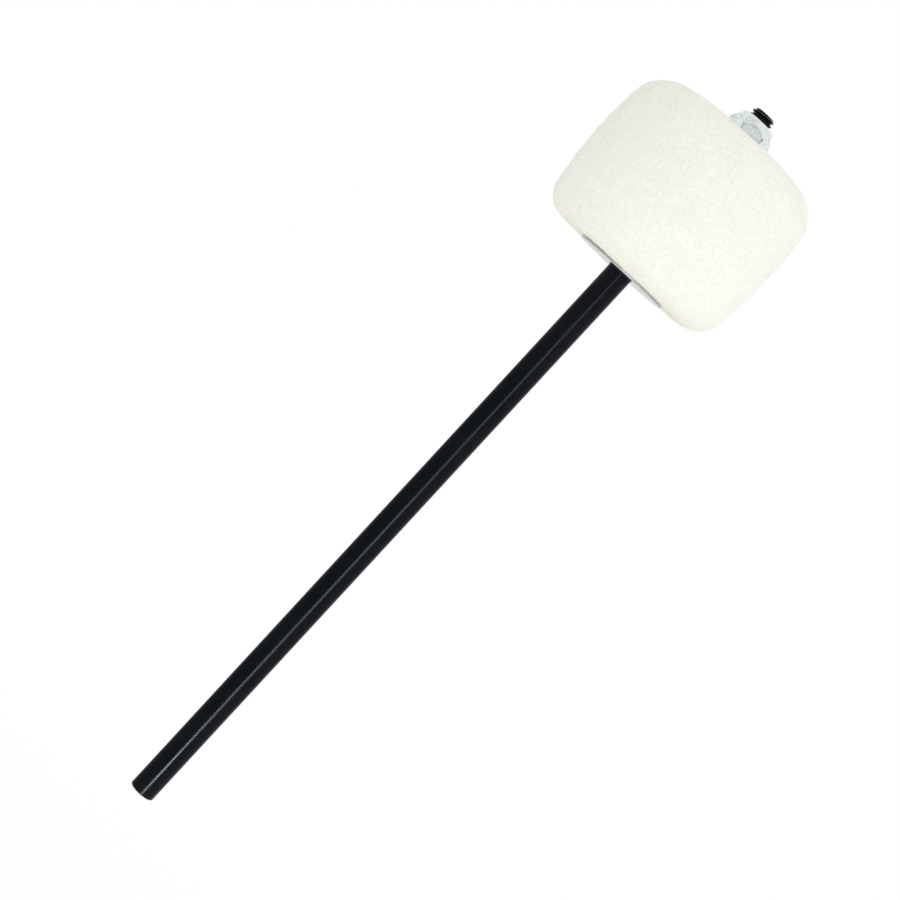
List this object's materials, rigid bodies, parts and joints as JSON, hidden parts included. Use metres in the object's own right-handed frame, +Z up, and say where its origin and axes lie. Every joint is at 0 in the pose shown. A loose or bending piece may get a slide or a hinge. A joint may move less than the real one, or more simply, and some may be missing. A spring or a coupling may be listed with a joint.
{
  "type": "bass drum beater",
  "caption": "Bass drum pedal beater: black steel rod with a threaded stud that carries a rounded felt barrel between wide washers under a nylon-insert lock nut.",
  "frame": {"origin": "middle of the rod's lower end, which is the end that goes into a pedal's clamp", "axes": "+Z up the rod towards the felt head; the picture looks along +Y, with +X to the right of the upright beater"},
  "size_m": [0.051, 0.051, 0.2097],
  "materials": {
    "black_rod": "glossy black enamel on steel rod",
    "zinc_washer": "zinc-plated punched steel",
    "zinc_nut": "bright blue-white zinc plating",
    "felt": "pressed cream-white wool felt with a fine nap",
    "nylon": "natural nylon"
  },
  "bodies": {
    "shaft": {"shaft": "black_rod"},
    "head": {"lower_washer": "zinc_washer", "felt_head": "felt"},
    "top_washer": {"upper_washer": "zinc_washer"},
    "nut": {"lock_nut": "zinc_nut", "nut_insert": "nylon"}
  },
  "joints": [
    {"name": "head_turn", "type": "hinge", "parent": "shaft", "child": "head", "pos_m": [0, 0, 0.1819], "axis": [0, 0, 1], "continuous": true},
    {"name": "nut_turn", "type": "hinge", "parent": "shaft", "child": "top_washer", "pos_m": [0, 0, 0.2016], "axis": [0, 0, 1], "range_deg": [0, 2520]},
    {"name": "nut_lift", "type": "slide", "parent": "top_washer", "child": "nut", "axis": [0, 0, 1], "range_m": [0, 0.00701]}
  ],
  "couplings": [
    {"joint": "nut_lift", "follows": "nut_turn", "m_per_rad": 0.00015915}
  ]
}
